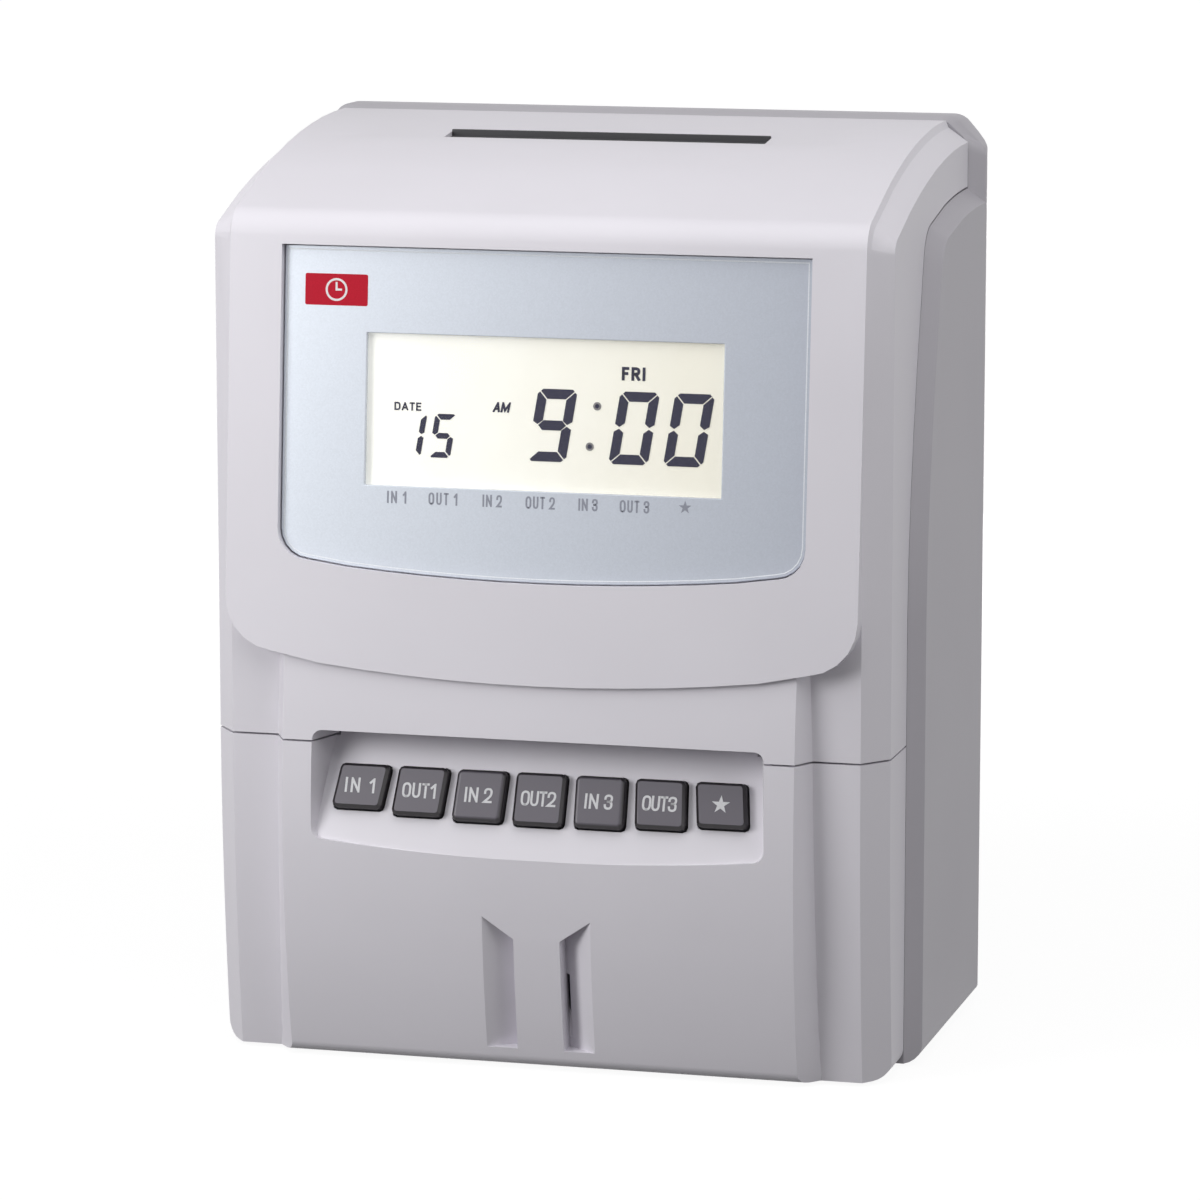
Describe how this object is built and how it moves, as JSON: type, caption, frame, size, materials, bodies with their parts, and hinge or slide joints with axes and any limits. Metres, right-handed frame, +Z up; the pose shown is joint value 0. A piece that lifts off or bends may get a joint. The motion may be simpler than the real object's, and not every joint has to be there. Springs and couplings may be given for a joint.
{
  "type": "time clock",
  "caption": "Desktop time clock: moulded light grey case, tilted display hood with a silver panel, a row of keys under it and a time card slot in the top.",
  "frame": {"origin": "on the table under the middle of the clock's bounding box", "axes": "+X to the clock's right as a user faces its display from behind the case's front, -Y out of the display, +Z up"},
  "size_m": [0.185, 0.12, 0.238],
  "materials": {
    "case_abs": "fine spark-eroded grain, satin",
    "panel_silver": "printed silver-blue film, satin",
    "window_clear": "polished clear acrylic",
    "lcd": "liquid crystal cell, pale",
    "key_grey": "dark grey, fine grain",
    "white_plastic": "natural acetal, satin",
    "dark_plastic": "black, fine grain",
    "battery_wrap": "shrink sleeve",
    "pcb": "solder mask, satin",
    "sheet_steel": "zinc-plated sheet",
    "motor_steel": "plated, satin",
    "screw_steel": "zinc-plated",
    "brass": "turned",
    "rubber": "matt black",
    "copper": "enamelled winding under tape"
  },
  "bodies": {
    "case": {"rear_case": "case_abs", "top_cover": "case_abs", "display_panel": "panel_silver", "display_window": "window_clear", "lcd_glass": "lcd", "backlight": "white_plastic", "main_board": "pcb", "buzzer": "dark_plastic", "backup_battery": "battery_wrap", "frame_right": "sheet_steel", "frame_left": "sheet_steel", "chute_front": "sheet_steel", "chute_rear": "sheet_steel", "platen": "rubber", "rail_lower": "motor_steel", "rail_upper": "motor_steel", "carriage_motor": "motor_steel", "ribbon_cassette": "dark_plastic", "ink_ribbon": "rubber", "lift_motor": "motor_steel", "lift_bracket_lower": "sheet_steel", "lift_bracket_upper": "sheet_steel", "transformer_core": "motor_steel", "transformer_coil": "copper", "power_board": "pcb", "power_inlet": "dark_plastic", "inlet_pin_left": "brass", "inlet_pin_right": "brass", "hanger_left": "sheet_steel", "hanger_right": "sheet_steel", "case_screw_1": "screw_steel", "case_screw_2": "screw_steel", "case_screw_3": "screw_steel", "case_screw_4": "screw_steel", "foot_1": "rubber", "foot_2": "rubber", "foot_3": "rubber", "foot_4": "rubber"},
    "lower_cover": {"lower_cover": "case_abs", "key_board": "pcb"},
    "card_stop": {"card_stop": "white_plastic"},
    "lift_screw": {"lift_screw": "brass"},
    "lift_pinion": {"lift_pinion": "brass"},
    "print_carriage": {"print_carriage": "dark_plastic", "print_head": "motor_steel"},
    "carriage_screw": {"carriage_screw": "brass"},
    "carriage_pinion": {"carriage_pinion": "brass"},
    "ribbon_knob": {"ribbon_knob": "white_plastic"},
    "key_in_1": {"key_in_1": "key_grey"},
    "key_out_1": {"key_out_1": "key_grey"},
    "key_in_2": {"key_in_2": "key_grey"},
    "key_out_2": {"key_out_2": "key_grey"},
    "key_in_3": {"key_in_3": "key_grey"},
    "key_out_3": {"key_out_3": "key_grey"},
    "key_star": {"key_star": "key_grey"}
  },
  "joints": [
    {"name": "lower_cover_pull", "type": "slide", "parent": "case", "child": "lower_cover", "axis": [0, -1, 0], "range_m": [0, 0.04]},
    {"name": "key_in_1_press", "type": "slide", "parent": "lower_cover", "child": "key_in_1", "axis": [0, 0.9205, -0.3907], "range_m": [0, 0.0016], "stiffness_N_per_m": 300},
    {"name": "key_out_1_press", "type": "slide", "parent": "lower_cover", "child": "key_out_1", "axis": [0, 0.9205, -0.3907], "range_m": [0, 0.0016], "stiffness_N_per_m": 300},
    {"name": "key_in_2_press", "type": "slide", "parent": "lower_cover", "child": "key_in_2", "axis": [0, 0.9205, -0.3907], "range_m": [0, 0.0016], "stiffness_N_per_m": 300},
    {"name": "key_out_2_press", "type": "slide", "parent": "lower_cover", "child": "key_out_2", "axis": [0, 0.9205, -0.3907], "range_m": [0, 0.0016], "stiffness_N_per_m": 300},
    {"name": "key_in_3_press", "type": "slide", "parent": "lower_cover", "child": "key_in_3", "axis": [0, 0.9205, -0.3907], "range_m": [0, 0.0016], "stiffness_N_per_m": 300},
    {"name": "key_out_3_press", "type": "slide", "parent": "lower_cover", "child": "key_out_3", "axis": [0, 0.9205, -0.3907], "range_m": [0, 0.0016], "stiffness_N_per_m": 300},
    {"name": "key_star_press", "type": "slide", "parent": "lower_cover", "child": "key_star", "axis": [0, 0.9205, -0.3907], "range_m": [0, 0.0016], "stiffness_N_per_m": 300},
    {"name": "card_lift", "type": "slide", "parent": "case", "child": "card_stop", "axis": [0, 0, 1], "range_m": [0, 0.09]},
    {"name": "lift_screw_turn", "type": "hinge", "parent": "case", "child": "lift_screw", "pos_m": [0, 0.03295, 0.1], "axis": [0, 0, 1], "range_deg": [-1620, 0]},
    {"name": "lift_pinion_turn", "type": "hinge", "parent": "case", "child": "lift_pinion", "pos_m": [0.015, 0.03295, 0.05], "axis": [0, 0, 1], "range_deg": [0, 3240]},
    {"name": "carriage_traverse", "type": "slide", "parent": "case", "child": "print_carriage", "axis": [1, 0, 0], "range_m": [0, 0.06]},
    {"name": "carriage_screw_turn", "type": "hinge", "parent": "case", "child": "carriage_screw", "pos_m": [0, -0.0199, 0.166], "axis": [1, 0, 0], "range_deg": [-540, 0]},
    {"name": "carriage_pinion_turn", "type": "hinge", "parent": "case", "child": "carriage_pinion", "pos_m": [0.05, -0.0199, 0.151], "axis": [1, 0, 0], "range_deg": [0, 1080]},
    {"name": "ribbon_knob_turn", "type": "hinge", "parent": "case", "child": "ribbon_knob", "pos_m": [0.039, -0.0195, 0.2], "axis": [0, 0, 1], "continuous": true}
  ],
  "couplings": [
    {"joint": "lift_screw_turn", "follows": "card_lift", "rad_per_m": -314.16},
    {"joint": "lift_pinion_turn", "follows": "card_lift", "rad_per_m": 628.32},
    {"joint": "carriage_screw_turn", "follows": "carriage_traverse", "rad_per_m": -157.08},
    {"joint": "carriage_pinion_turn", "follows": "carriage_traverse", "rad_per_m": 314.16}
  ]
}
